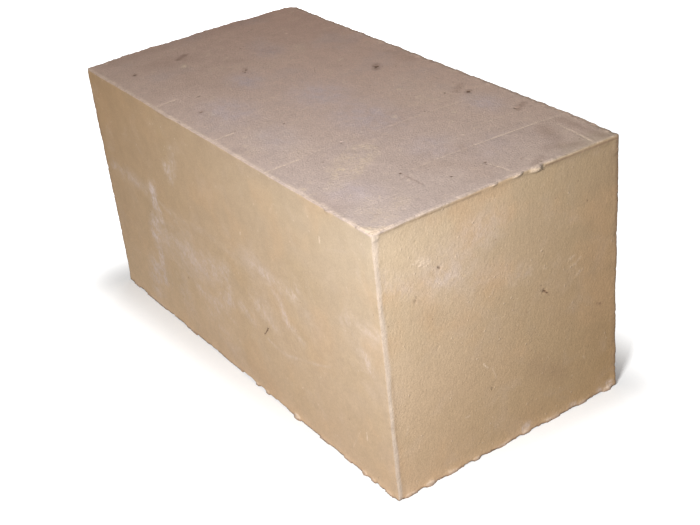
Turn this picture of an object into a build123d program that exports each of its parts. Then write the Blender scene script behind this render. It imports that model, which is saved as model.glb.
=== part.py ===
from build123d import *
import os

# A block of raw earth, pressed in a mould, turned out and dried in the air.
# It lies on its base. X runs along it from the tail end to the head end, Y across it from
# the front side to the back side, and Z up. The origin is the middle of the base.
# All sizes are in millimetres, and a share is a place from 0 to 1 along an arris or a face.

# Block
length = 298.8                  # between the two end faces
width_at_top = 148.0
width_at_base = 146.5           # the mould's sides lean in, so that the block drops out
height = 150.0                  # at the middle of the top face
crown_rise = 1.0                # the struck top stands this much above its long arrises

# Upright corners, as seen from above
head_front_radius = 1.6         # nearly sharp
head_back_radius = 2.0
tail_front_radius = 3.0
tail_back_radius = 8.5          # knocked round
corner_margin = 0.3             # the rounding starts this far outside the faces

# Flash: clay pressed into the joints round the mould's end plates
flash_proud = 0.6               # how far it stands out of an end face
flash_slope = 2.2               # its inner flank falls to the end face over this width
head_front_flash = (1.2, 1.5, 2.0, 2.9, 2.6, 2.1, 1.8, 2.0, 2.3)     # widths, base to top
head_top_flash = (1.3, 1.0, 1.1, 1.0, 1.7, 1.4, 1.8, 2.1, 1.9)       # widths, front to back
head_back_flash = (2.0, 2.9, 2.2, 1.7, 2.3, 1.8, 2.1)
tail_front_flash = (2.2, 1.7, 2.6, 2.1, 1.6, 2.3, 2.0)
tail_top_flash = (2.1, 2.7, 1.8, 2.2, 1.7, 2.4, 2.2)
tail_back_flash = (2.4, 1.9, 2.8, 2.2, 1.8, 2.5, 2.1)
flash_top_inset = 3.8           # the side bands turn into the top band this far down

# Lips squeezed out at the foot: share along the arris, length, how far they stand out
front_foot_lips = (
    (0.035, 14.0, 0.8), (0.13, 44.0, 0.9), (0.29, 46.0, 0.6), (0.445, 30.0, 0.5),
    (0.551, 5.0, 1.0), (0.588, 5.0, 1.1), (0.692, 9.0, 1.7), (0.782, 19.0, 0.7),
    (0.855, 16.0, 0.7), (0.905, 6.0, 1.2), (0.932, 6.0, 1.0), (0.975, 9.0, 1.1),
)
head_foot_lips = (
    (0.055, 11.0, 1.1), (0.135, 8.0, 1.4), (0.225, 17.0, 0.8), (0.335, 7.0, 1.2),
    (0.45, 21.0, 0.7), (0.562, 7.0, 1.2), (0.69, 22.0, 0.8), (0.83, 17.0, 0.8),
    (0.955, 8.0, 1.5),
)
back_foot_lips = (
    (0.06, 17.0, 0.7), (0.19, 32.0, 0.6), (0.34, 8.0, 1.3), (0.47, 38.0, 0.6),
    (0.61, 7.0, 1.1), (0.74, 35.0, 0.5), (0.87, 10.0, 1.2), (0.95, 14.0, 0.7),
)
tail_foot_lips = (
    (0.09, 15.0, 0.8), (0.27, 24.0, 0.6), (0.44, 7.0, 1.2), (0.62, 27.0, 0.6), (0.81, 9.0, 1.1),
)
lip_rise = 1.3                  # height of a lip for each millimetre that it stands out
lip_taper = 30.0                # degrees
lump_root = 2.5                 # how far a lip or a crumb reaches into the block

# Crumbs hanging on the top arrises: share along the arris, length, how far they stand out
front_top_crumbs = ((0.33, 46.0, 0.8), (0.884, 6.0, 1.1))
head_top_crumbs = ((0.032, 6.5, 1.1), (0.473, 3.5, 1.2), (0.575, 6.0, 1.5), (0.643, 7.0, 2.3))
back_top_crumbs = ((0.22, 6.0, 1.1), (0.41, 38.0, 0.7), (0.78, 5.0, 1.2))
tail_top_crumbs = ((0.3, 6.0, 1.9), (0.56, 5.0, 1.7))
crumb_drop = 0.5                # how far below the arris a crumb starts

# Worn stretches: share along the arris, length, depth
front_foot_wear = ((0.5, 120.0, 0.9), (0.2, 30.0, 0.6))
front_top_wear = ((0.58, 80.0, 0.4), (0.96, 16.0, 0.5))
back_foot_wear = ((0.3, 70.0, 1.0), (0.83, 26.0, 1.3))
back_top_wear = ((0.13, 30.0, 0.6), (0.985, 11.0, 1.0))
head_back_wear = ((0.965, 13.0, 1.0), (0.4, 40.0, 0.4))
tail_back_wear = ((0.4, 50.0, 0.7),)
tail_foot_wear = ((0.52, 36.0, 0.9),)
tail_top_wear = ((0.8, 30.0, 0.8), (0.43, 22.0, 0.5))
wear_reach = 5.0                # how far a worn stretch reaches to either side of the arris
wear_lift = 0.5                 # how far outside the arris its arc starts

# Pits left by air and small stones: share along or across, share across or up, radius, depth
top_pits = (
    (0.456, 0.809, 1.8, 0.6), (0.689, 0.883, 1.7, 0.6), (0.661, 0.819, 1.2, 0.4),
    (0.276, 0.434, 1.3, 0.4), (0.132, 0.095, 1.3, 0.4), (0.803, 0.906, 1.4, 0.4),
)
head_pits = ((0.664, 0.53, 1.5, 0.6), (0.239, 0.791, 1.2, 0.4), (0.143, 0.713, 1.0, 0.3))

base_half = width_at_base / 2
top_half = width_at_top / 2
widest = max(width_at_base, width_at_top)
end_x = length / 2
shoulder = height - crown_rise  # height of the long top arrises
up = Vector(0, 0, 1)
front_way = Vector(0, -1, 0)
head_way = Vector(1, 0, 0)


def half_width(z):
    """Half of the block's width at height z."""
    return base_half + (top_half - base_half) * z / shoulder


def top_height(y):
    """Height of the crowned top face at y."""
    return height - crown_rise * (y / top_half) ** 2


def flash_outline(front_widths, top_widths, back_widths, foot_of_slope):
    """Inner edge of a band of flash, up the front side, over to the back and down again."""
    turn_z = shoulder - flash_top_inset - foot_of_slope
    turn_y = top_half - flash_top_inset - foot_of_slope
    front = []
    for step, width in enumerate(front_widths):
        z = turn_z * step / (len(front_widths) - 1)
        front.append((width + foot_of_slope - half_width(z), z))
    top = []
    for step, width in enumerate(top_widths):
        y = turn_y * (2 * step / (len(top_widths) - 1) - 1)
        top.append((y, top_height(y) - width - foot_of_slope))
    back = []
    for step, width in enumerate(back_widths):
        z = turn_z * step / (len(back_widths) - 1)
        back.append((half_width(z) - width - foot_of_slope, z))
    return front, top, back[::-1]


# Arrises that carry lips and crumbs or are worn, named by the faces that meet there
foot = [Vector(x * end_x, y * base_half, 0) for x, y in ((-1, -1), (1, -1), (1, 1), (-1, 1))]
brow = [Vector(x * end_x, y * top_half, shoulder) for x, y in ((-1, -1), (1, -1), (1, 1), (-1, 1))]
front_foot = Line(foot[0], foot[1])
head_foot = Line(foot[1], foot[2])
back_foot = Line(foot[3], foot[2])
tail_foot = Line(foot[0], foot[3])
front_top = Line(brow[0], brow[1])
head_top = ThreePointArc(brow[1], (end_x, 0, height), brow[2])
back_top = Line(brow[3], brow[2])
tail_top = ThreePointArc(brow[0], (-end_x, 0, height), brow[3])
head_back = Line(foot[2], brow[2])
tail_back = Line(foot[3], brow[3])

# Arris, the way its lumps stand out, the way they thin, how far off they start, their sizes
lump_rows = (
    (front_foot, front_way, up, 0, front_foot_lips),
    (head_foot, head_way, up, 0, head_foot_lips),
    (back_foot, -front_way, up, 0, back_foot_lips),
    (tail_foot, -head_way, up, 0, tail_foot_lips),
    (front_top, front_way, -up, crumb_drop, front_top_crumbs),
    (head_top, head_way, -up, crumb_drop, head_top_crumbs),
    (back_top, -front_way, -up, crumb_drop, back_top_crumbs),
    (tail_top, -head_way, -up, crumb_drop, tail_top_crumbs),
)

# Arris, the way out of the clay between its two faces, its stretches
worn_rows = (
    (front_foot, front_way - up, front_foot_wear),
    (back_foot, -front_way - up, back_foot_wear),
    (tail_foot, -head_way - up, tail_foot_wear),
    (front_top, front_way + up, front_top_wear),
    (back_top, -front_way + up, back_top_wear),
    (tail_top, -head_way + up, tail_top_wear),
    (head_back, head_way - front_way, head_back_wear),
    (tail_back, -head_way - front_way, tail_back_wear),
)

# Worn stretches: a wide arc that dips into the arris
with BuildPart() as worn_away:
    for arris, outward, stretches in worn_rows:
        for share, run, depth in stretches:
            along = arris % share
            with BuildSketch(Plane(origin=arris @ share, x_dir=along, z_dir=along.cross(outward))):
                with BuildLine():
                    ThreePointArc((-run / 2, wear_lift), (0, -depth), (run / 2, wear_lift))
                    Line((run / 2, wear_lift), (-run / 2, wear_lift))
                make_face()
            extrude(amount=wear_reach, both=True)

# Lips and crumbs: a bow of clay with its root inside the block, flat on the side where it was
# pressed and thinning away from there
with BuildPart() as lumps:
    for arris, outward, thinning, offset_from_arris, sizes in lump_rows:
        for share, run, proud in sizes:
            middle = arris @ share + thinning * offset_from_arris
            with BuildSketch(Plane(origin=middle, x_dir=outward.cross(thinning), z_dir=thinning)):
                with BuildLine():
                    ThreePointArc((run / 2, 0), (0, proud), (-run / 2, 0))
                    Polyline(
                        (-run / 2, 0), (-run / 2, -lump_root), (run / 2, -lump_root), (run / 2, 0)
                    )
                make_face()
            extrude(amount=lip_rise * proud, taper=lip_taper)

# Pits: a ball that dips to the pit's depth and has the pit's radius at its mouth
with BuildPart() as pits:
    for along, across, radius, depth in top_pits:
        ball = (radius**2 + depth**2) / (2 * depth)
        y = (across - 0.5) * width_at_top
        with Locations(((along - 0.5) * length, y, top_height(y) - depth + ball)):
            Sphere(ball, rotation=(90, 0, 0))
    for across, rise, radius, depth in head_pits:
        ball = (radius**2 + depth**2) / (2 * depth)
        with Locations((end_x - depth + ball, (across - 0.5) * width_at_top, rise * height)):
            Sphere(ball)

with BuildPart() as mud_brick:
    # Body: the mould's section, crowned where the top was struck off
    with BuildSketch(Plane.YZ.offset(-end_x)):
        with BuildLine():
            Polyline((-top_half, shoulder), (-base_half, 0), (base_half, 0), (top_half, shoulder))
            ThreePointArc((top_half, shoulder), (0, height), (-top_half, shoulder))
        make_face()
    extrude(amount=length)

    # Bands of flash round three sides of each end face, wider at their root
    for end_way, widths in (
        (1, (head_front_flash, head_top_flash, head_back_flash)),
        (-1, (tail_front_flash, tail_top_flash, tail_back_flash)),
    ):
        for proud, foot_of_slope in ((0, flash_slope), (flash_proud, 0)):
            front, top, back = flash_outline(*widths, foot_of_slope)
            with BuildSketch(Plane.YZ.offset(end_way * (end_x + proud))):
                with BuildLine():
                    Polyline((-top_half, shoulder), (-base_half, 0), front[0])
                    front_edge = Spline(*front)
                    top_edge = Spline(*top)
                    back_edge = Spline(*back)
                    Line(front_edge @ 1, top_edge @ 0)
                    Line(top_edge @ 1, back_edge @ 0)
                    Polyline(back[-1], (base_half, 0), (top_half, shoulder))
                    ThreePointArc((top_half, shoulder), (0, height), (-top_half, shoulder))
                make_face()
        loft(ruled=True)

    # Upright corners, worn through the flash as well
    with BuildSketch(Plane.XY):
        Rectangle(length + 2 * (flash_proud + corner_margin), widest + 2 * corner_margin)
        for corner_way, radius in (
            (head_way + front_way, head_front_radius),
            (head_way - front_way, head_back_radius),
            (front_way - head_way, tail_front_radius),
            (-front_way - head_way, tail_back_radius),
        ):
            fillet(vertices().sort_by(Axis((0, 0, 0), corner_way))[-1], radius=radius)
    extrude(amount=height, mode=Mode.INTERSECT)

    add(worn_away.part, mode=Mode.SUBTRACT)
    add(pits.part, mode=Mode.SUBTRACT)
    add(lumps.part)

mud_brick.part.label = "mud_brick"
os.makedirs("parts", exist_ok=True)
export_step(mud_brick.part, "parts/mud_brick.step")
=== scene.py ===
import math
import random

import bpy
import numpy as np
from mathutils import Matrix, Vector


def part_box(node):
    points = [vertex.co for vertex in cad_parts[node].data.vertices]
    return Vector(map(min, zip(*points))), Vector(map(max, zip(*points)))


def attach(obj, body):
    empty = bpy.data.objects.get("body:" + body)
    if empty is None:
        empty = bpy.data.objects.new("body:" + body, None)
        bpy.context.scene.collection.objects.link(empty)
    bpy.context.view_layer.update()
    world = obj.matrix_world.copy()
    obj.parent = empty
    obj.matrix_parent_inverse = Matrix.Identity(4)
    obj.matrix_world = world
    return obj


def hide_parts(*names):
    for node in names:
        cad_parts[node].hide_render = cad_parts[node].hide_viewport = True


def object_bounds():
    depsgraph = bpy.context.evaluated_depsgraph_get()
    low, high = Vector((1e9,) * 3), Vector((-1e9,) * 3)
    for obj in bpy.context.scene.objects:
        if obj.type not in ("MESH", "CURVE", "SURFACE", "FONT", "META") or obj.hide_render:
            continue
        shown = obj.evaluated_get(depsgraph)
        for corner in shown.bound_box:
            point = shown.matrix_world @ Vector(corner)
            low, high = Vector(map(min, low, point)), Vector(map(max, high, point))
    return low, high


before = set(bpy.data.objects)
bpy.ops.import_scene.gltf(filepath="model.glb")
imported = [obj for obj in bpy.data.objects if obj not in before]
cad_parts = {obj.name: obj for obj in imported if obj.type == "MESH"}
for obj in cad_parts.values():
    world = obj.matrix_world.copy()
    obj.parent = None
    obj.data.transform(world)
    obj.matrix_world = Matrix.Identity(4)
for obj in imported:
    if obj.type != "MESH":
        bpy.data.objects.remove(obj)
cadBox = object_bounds()
print("Frame loaded:", ", ".join(sorted(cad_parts)))

mm = 0.001

# The block as the frame has it, in metres
block = {
    "endX": 149.4 * mm,  # the end faces, inside the flash
    "flash": 0.6 * mm,  # how far the flash stands out of them
    "halfTop": 74 * mm,
    "halfBase": 73.25 * mm,
    "crown": 1 * mm,  # rise of the struck top above its long arrises
    "height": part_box("mud_brick")[1].z,
}


# Small helpers

def deselectAll():
    if bpy.context.mode != "OBJECT":
        bpy.ops.object.mode_set(mode="OBJECT")
    bpy.ops.object.select_all(action="DESELECT")


def makeActive(thing):
    deselectAll()
    thing.select_set(True)
    bpy.context.view_layer.objects.active = thing


def readVertices(piece, what="co"):
    values = np.empty(len(piece.data.vertices) * 3, dtype=np.float32)
    piece.data.vertices.foreach_get(what, values)
    return values.reshape(-1, 3).astype(np.float64)


def writeVertices(piece, places):
    piece.data.vertices.foreach_set("co", places.astype(np.float32).ravel())
    piece.data.update()


def smooth(value, low, high):
    share = np.clip((value - low) / (high - low), 0, 1)
    return share * share * (3 - 2 * share)


def halfWidth(z):
    widening = block["halfTop"] - block["halfBase"]
    return block["halfBase"] + widening * z / (block["height"] - block["crown"])


def topHeight(y):
    return block["height"] - block["crown"] * (y / block["halfTop"]) ** 2


# Where each point of the block's skin lies: its face, and how far it is from the nearest arris

faceAxes = {  # way out, then the two axes that its marks are given on
    "top": ((0, 0, 1), 0, 1),
    "base": ((0, 0, -1), 0, 1),
    "front": ((0, -1, 0), 0, 2),
    "back": ((0, 1, 0), 0, 2),
    "head": ((1, 0, 0), 1, 2),
    "tail": ((-1, 0, 0), 1, 2),
}


def depthBelow(places):
    x, y, z = places.T
    return {
        "top": topHeight(y) - z,
        "base": z,
        "front": y + halfWidth(z),
        "back": halfWidth(z) - y,
        "head": block["endX"] - x,
        "tail": block["endX"] + x,
    }


# How far in from the nearer end face, and from the nearer long side
def depthIn(below):
    return np.minimum(below["head"], below["tail"]), np.minimum(below["front"], below["back"])


def arrisDistances(places):
    below = depthBelow(places)
    ends, sides = depthIn(below)
    ends = ends + block["flash"]
    return {
        "upright": np.maximum(ends, sides),
        "long": np.maximum(sides, below["top"]),
        "brow": np.maximum(ends, below["top"]),
        "foot": np.maximum(np.minimum(ends, sides), below["base"]),
    }


def arrisDistance(places):
    return np.min(list(arrisDistances(places).values()), axis=0)


def onFace(places, normals, face, reach=3 * mm, squareness=0.6):
    out = np.array(faceAxes[face][0], float)
    return (normals @ out > squareness) & (depthBelow(places)[face] < reach)


# Body: a copy of the CAD block, remeshed finely enough to be worked like clay

body = {
    "mergeWithin": 0.001 * mm,
    "voxel": 0.62 * mm,
    "quickVoxel": 1.3 * mm,
    "triangles": 195000,
    "quickTriangles": 60000,
    "edgeSmoothing": 2,
    # Crumbs that stick to the arrises: place, three half sizes and how many grains, in mm
    "crumbs": (((116, -73.9, 148.6), (2, 0.6, 0.6), 4),),
    "crumbSeed": 11,
    "grainRadius": 0.8,
    "grainSizes": (0.7, 1.1),  # smallest and largest share of the crumb's half sizes
    "grainFit": 0.75,
    # Rounding of the flash into the end faces, in strips measured from the arris
    "flankSmoothing": 16,
    "flankStart": (0.8 * mm, 1.8 * mm),
    "flankEnd": (6 * mm, 9 * mm),
    "flankBelowTop": (2 * mm, 6 * mm),
    "flankSlack": (0.3 * mm, 0.15 * mm),  # how far behind the end face and past the flash
    # A stretch of the head's top arris that is rounded too: least x, middle y, least z, half length
    "hook": (146 * mm, 24 * mm, 143 * mm, 4 * mm),
    "lipSmoothing": 7,  # rounds the near top arris
    "lipStrip": (1.2 * mm, 3 * mm),
    "flashLeft": 0.3,  # share of the flash's height left along the uprights
    "wornBelowTop": 4 * mm,
    "wornAboveFoot": (6 * mm, 14 * mm),
    "backSwell": 1.1 * mm,  # how far the back bulges near its top
    "swellWidth": 70 * mm,
    "swellHeight": 150 * mm,
    "footSpread": 0.4 * mm,  # how far the foot stands out all round
    "footHeight": 7 * mm,
    "endsBeyond": 140 * mm,  # past these a point belongs to an end or a side
    "sidesBeyond": 66 * mm,
    # Rise and fall of the head's top arris across the width, in mm
    "browSway": ((-74, 0.2), (-52, 0.4), (-30, 0.1), (-8, -0.1), (22, -0.1), (45, -0.7), (74, -0.8)),
    "swayAlong": (118 * mm, 149 * mm),
    "swayUp": (138 * mm, 147 * mm),
    # Drops of clay on the head's top arris: place, half width, half height, how proud, in mm
    "drops": ((21.2, 147.8, 4.6, 2.1, 1), (9.2, 148.7, 3.4, 1.4, 0.6), (-5, 149, 3, 1, 0.4)),
    "dropReach": 1 * mm,  # how far behind the end face a drop still takes hold
    "boxSlack": 0.01 * mm,  # kept free inside the CAD box
}


def applyModifier(piece, name, kind, **settings):
    makeActive(piece)
    modifier = piece.modifiers.new(name, kind)
    for key, value in settings.items():
        setattr(modifier, key, value)
    bpy.ops.object.modifier_apply(modifier=name)


def soften(piece, times, group=""):
    applyModifier(piece, "soften", "SMOOTH", factor=0.5, iterations=times, vertex_group=group)


# Weights are set in steps, all the points of a step at once
def setGroup(piece, name, weights, steps=20):
    group = piece.vertex_groups.get(name) or piece.vertex_groups.new(name=name)
    levels = np.round(np.clip(weights, 0, 1) * steps).astype(int)
    for level in range(steps + 1):
        chosen = np.nonzero(levels == level)[0]
        if len(chosen):
            group.add(chosen.tolist(), level / steps, "REPLACE")


def copyOfBlock(name):
    makeActive(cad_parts["mud_brick"])
    bpy.ops.object.duplicate()
    piece = bpy.context.active_object
    piece.name = piece.data.name = name
    for key in [key for key in piece.keys() if key.startswith("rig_")]:
        del piece[key]
    piece.parent = None
    piece.data.materials.clear()
    bpy.ops.object.mode_set(mode="EDIT")
    bpy.ops.mesh.select_all(action="SELECT")
    bpy.ops.mesh.remove_doubles(threshold=body["mergeWithin"])
    bpy.ops.object.mode_set(mode="OBJECT")
    return piece


def addCrumbs(piece):
    dice = random.Random(body["crumbSeed"])
    radius = body["grainRadius"]
    grains = []
    for place, reach, count in body["crumbs"]:
        for _ in range(count):
            spot = [(p + dice.uniform(-0.5, 0.5) * r) * mm for p, r in zip(place, reach)]
            deselectAll()
            bpy.ops.mesh.primitive_ico_sphere_add(subdivisions=2, radius=radius * mm, location=spot)
            size = [dice.uniform(*body["grainSizes"]) * r / radius * body["grainFit"] for r in reach]
            bpy.ops.transform.resize(value=size)
            turn = dice.uniform(-0.5, 0.5)
            bpy.ops.transform.rotate(value=turn, orient_axis="X", center_override=spot)
            grains.append(bpy.context.active_object)
    deselectAll()
    for grain in grains:
        grain.select_set(True)
    piece.select_set(True)
    bpy.context.view_layer.objects.active = piece
    bpy.ops.object.join()


def roundFlash(piece):
    places = readVertices(piece)
    below = depthBelow(places)
    outward = -depthIn(below)[0]
    distance = arrisDistance(places)
    behind, past = body["flankSlack"]
    flank = smooth(distance, *body["flankStart"]) * (1 - smooth(distance, *body["flankEnd"]))
    flank *= (outward > -behind) & (outward < block["flash"] + past)
    flank *= smooth(below["top"], *body["flankBelowTop"])
    hookX, hookY, hookZ, halfLength = body["hook"]
    hook = np.abs(places[:, 1] - hookY) < halfLength
    flank = np.maximum(flank, hook & (places[:, 0] > hookX) & (places[:, 2] > hookZ))
    setGroup(piece, "flank", flank)
    soften(piece, body["flankSmoothing"], "flank")
    near = (places[:, 1] < 0) * (1 - smooth(arrisDistances(places)["long"], *body["lipStrip"]))
    setGroup(piece, "nearLip", near)
    soften(piece, body["lipSmoothing"], "nearLip")


# Wears the flash, swells the back, spreads the foot and works the head's top arris
def shiftSkin(piece):
    places = readVertices(piece)
    x, y, z = places.T  # views, so that what is added to them moves the points
    below = depthBelow(places)
    ends, sides = depthIn(below)
    worn = np.clip(-ends, 0, block["flash"]) * (1 - smooth(sides, *body["flankEnd"]))
    worn *= below["top"] > body["wornBelowTop"]
    worn *= (1 - body["flashLeft"]) * smooth(z, *body["wornAboveFoot"])
    x -= np.sign(x) * worn
    swell = smooth(y, 0, body["swellWidth"]) * smooth(z, 0, body["swellHeight"])
    y += body["backSwell"] * swell
    spread = body["footSpread"] * (1 - smooth(z, 0, body["footHeight"]))
    x += spread * np.sign(x) * (np.abs(x) > body["endsBeyond"])
    y += spread * np.sign(y) * (np.abs(y) > body["sidesBeyond"])
    stations, rises = np.array(body["browSway"], float).T * mm
    sway = np.interp(y, stations, rises)
    z += sway * smooth(x, *body["swayAlong"]) * smooth(z, *body["swayUp"])
    for middle, level, wide, tall, proud in body["drops"]:
        away = ((y / mm - middle) / wide) ** 2 + ((z / mm - level) / tall) ** 2
        there = np.clip(1 - away, 0, None) * (x > block["endX"] - body["dropReach"])
        x += proud * mm * there
    writeVertices(piece, places)


# Relief pressed into the skin: wide waves, ragged arrises, the mould's marks

relief = (
    # name, pattern size, depth, part of the block, level that stays put, and the pattern's stretch and turn
    ("slump", 70, 0.3, None, 0.7),
    ("dents", 17, 0.09, None, 0.7),
    ("worn", 9, 0.6, "arris", 0.5),
    ("ragged", 3.2, 0.4, "arris", 0.5),
    ("crumbly", 1.5, 0.16, "arris", 0.5),
    ("chewed", 4.5, 0.7, "farArris", 0.6),
    ("hammered", 1.8, 0.24, "ends", 0.6, (1, 1, 1.2), -20),
    ("struck", 2.2, 0.22, "topFace", 0.7, (1, 1.4, 1), 0),
    ("dragged", 2.6, 0.06, "sides", 0.7, (1, 1, 1.4), 0),
)

reliefParts = {  # strips measured from the arris
    "arris": (0.6 * mm, 3.4 * mm),
    "farArris": (0.6 * mm, 3 * mm),
    "farReach": 4 * mm,  # how near to the tail or the back a far arris is
    "footShare": 0.35,  # how chewed the foot is, beside the far arrises
    "inner": (1 * mm, 5 * mm),  # where the faces' own relief comes in
}


def groupParts(piece):
    places, normals = readVertices(piece), readVertices(piece, "normal")
    below = depthBelow(places)
    far = arrisDistances(places)
    distance = np.min(list(far.values()), axis=0)
    inner = smooth(distance, *reliefParts["inner"])
    strip, share = reliefParts["farArris"], reliefParts["footShare"]
    behind = np.minimum(below["tail"], below["back"]) < reliefParts["farReach"]
    farArris = (1 - smooth(np.minimum(far["brow"], far["long"]), *strip)) * behind
    face = {name: onFace(places, normals, name) for name in faceAxes}
    setGroup(piece, "arris", 1 - smooth(distance, *reliefParts["arris"]))
    setGroup(piece, "farArris", np.maximum(farArris, share - share * smooth(far["foot"], *strip)))
    setGroup(piece, "ends", (face["head"] | face["tail"]) * inner)
    setGroup(piece, "topFace", face["top"] * inner)
    setGroup(piece, "sides", (face["front"] | face["back"]) * inner)


def pressRelief(piece):
    groupParts(piece)
    for name, size, depth, part, level, *bent in relief:
        pattern = bpy.data.textures.new(name, "CLOUDS")
        pattern.noise_scale = size * mm
        pattern.noise_depth = 2
        guide = bpy.data.objects.new(name + "Guide", None)
        guide.scale, turn = bent or ((1, 1, 1), 0)
        guide.rotation_euler.x = math.radians(turn)
        bpy.context.scene.collection.objects.link(guide)
        bpy.context.view_layer.update()
        applyModifier(
            piece, name, "DISPLACE", texture=pattern, strength=depth * mm, mid_level=level,
            texture_coords="OBJECT", texture_coords_object=guide, vertex_group=part or "",
        )
        bpy.data.objects.remove(guide)
        bpy.data.textures.remove(pattern)


# Bites out of the arrises: arris ends in mm, way in, how many, largest radius and depth

bites = (
    ((-149, -73.2, 0), (149, -73.2, 0), (0, 1, 1), 16, 2.2, 0.35),
    ((149.4, -73.2, 0), (149.4, 73.2, 0), (-1, 0, 1), 9, 2.2, 0.35),
    ((-149, 73.2, 0), (149, 73.2, 0), (0, -1, 1), 30, 4, 1.1),
    ((-149.4, -73.2, 0), (-149.4, 73.2, 0), (1, 0, 1), 16, 3.4, 1),
    ((-149, -74, 149), (149, -74, 149), (0, 1, -1), 20, 1.5, 0.25),
    ((150, -74, 149.5), (150, 10, 149.5), (-1, 0, -0.3), 8, 1.4, 0.25),
    ((150, 10, 149.5), (150, 74, 149.5), (-1, 0, -0.3), 12, 1.7, 0.45),
    ((-149, 74, 149), (149, 74, 149), (0, -1, -1), 30, 1.8, 0.4),
    ((-150, -74, 149.5), (-150, 74, 149.5), (1, 0, -1), 24, 2, 0.5),
    ((150, -74, 0), (150, -74, 149), (-1, 1, 0), 6, 1.6, 0.2),
    ((149.8, 73.5, 0), (149.8, 73.5, 149), (-1, -1, 0), 12, 2, 0.4),
    ((-149.4, -73.5, 0), (-149.4, -73.5, 149), (1, 1, 0), 10, 2, 0.4),
    ((-146, 71, 0), (-146, 71, 149), (1, -1, 0), 12, 3, 0.7),
)

biting = {
    "seed": 5,
    "sizes": (0.45, 1),  # shares of the largest radius
    "depths": (0.3, 1),  # shares of the largest depth
    "slope": 1.5,  # how evenly a bite runs out
}


def takeBites(piece):
    dice = random.Random(biting["seed"])
    places = readVertices(piece)
    for start, end, inward, count, radius, depth in bites:
        start, end = np.array(start) * mm, np.array(end) * mm
        inward = np.array(inward, float) / np.linalg.norm(inward)
        for _ in range(count):
            spot = start + (end - start) * dice.random()
            size = radius * mm * dice.uniform(*biting["sizes"])
            bite = depth * mm * dice.uniform(*biting["depths"])
            near = np.linalg.norm(places - spot, axis=1) / size
            places += np.outer(np.clip(1 - near**2, 0, None) ** biting["slope"] * bite, inward)
    writeVertices(piece, places)


# Marks: what air, stones, straw, the strike-off board and rubbing left on each face, in mm

pits = {  # place on the face, radius, depth, how dark (partly dark specks, partly painted shade in the hollow)
    "top": (
        (-13.9, 46.4, 2, 0.35, 1), (-12.4, 44.6, 1.2, 0.2, 0.7), (54.8, 58, 1.6, 0.3, 1),
        (47.2, 48, 1, 0.15, 0.8), (49.8, 54.5, 1, 0.1, 0.6), (43, 61, 0.9, 0.1, 0.5),
        (-67.4, -9, 1.3, 0.15, 0.8), (-64.8, -11.2, 1, 0.15, 0.7), (-114, -58.4, 1.7, 0.2, 0.7),
        (110, -28.4, 1, 0.2, 0.9), (60, -28.4, 0.8, 0.2, 0.8), (46, -54, 0.9, 0.2, 0.7),
        (16.4, -35.2, 1, 0.2, 0.8), (-32.4, -58.4, 1.6, 0.2, 0.5), (130.2, -13.8, 1, 0.2, 0.8),
        (130, 7, 1.2, 0.2, 0.7), (132, 6, 0.8, 0.2, 0.7), (90, 60.2, 1.1, 0.2, 0.9),
        (92.4, 59.6, 0.8, 0.2, 0.5), (111, 15.4, 0.9, 0.15, 0.5), (12, 14, 1, 0.1, 0.25),
        (141, 57, 0.8, 0.15, 0.6), (147.6, 26.5, 1, 0.2, 0.6),
    ),
    "head": (
        (25.2, 79, 0.8, 0.25, 1), (22.6, 83.5, 0.6, 0.1, 0.6), (-38.3, 118.3, 1, 0.25, 0.7),
        (-39.1, 118.9, 0.7, 0.15, 0.7), (-52.9, 106.7, 0.9, 0.15, 0.4), (-42.6, 77, 0.8, 0.15, 0.4),
        (-51, 137, 0.8, 0.15, 0.4), (53.9, 119.2, 0.7, 0.15, 0.8), (62.4, 56.4, 0.8, 0.15, 0.5),
        (60.6, 57.4, 0.6, 0.1, 0.5), (-35, 69, 0.7, 0.1, 0.2), (-14, 96, 0.7, 0.1, 0.2),
    ),
    "front": ((-55, 41, 1, 0.1, 0.6), (-88, 33, 0.9, 0.1, 0.3)),
    "back": (
        (-92, 88, 1.6, 0.35, 0.9), (34, 121, 1.2, 0.3, 0.7), (101, 41, 1.4, 0.3, 0.6),
        (-20, 26, 1, 0.2, 0.5), (71, 92, 0.9, 0.2, 0.5),
    ),
    "tail": (
        (31, 97, 1.5, 0.35, 0.9), (-44, 61, 1.2, 0.3, 0.6), (8, 31, 1, 0.2, 0.6), (-21, 122, 0.9, 0.2, 0.5),
    ),
}

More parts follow.
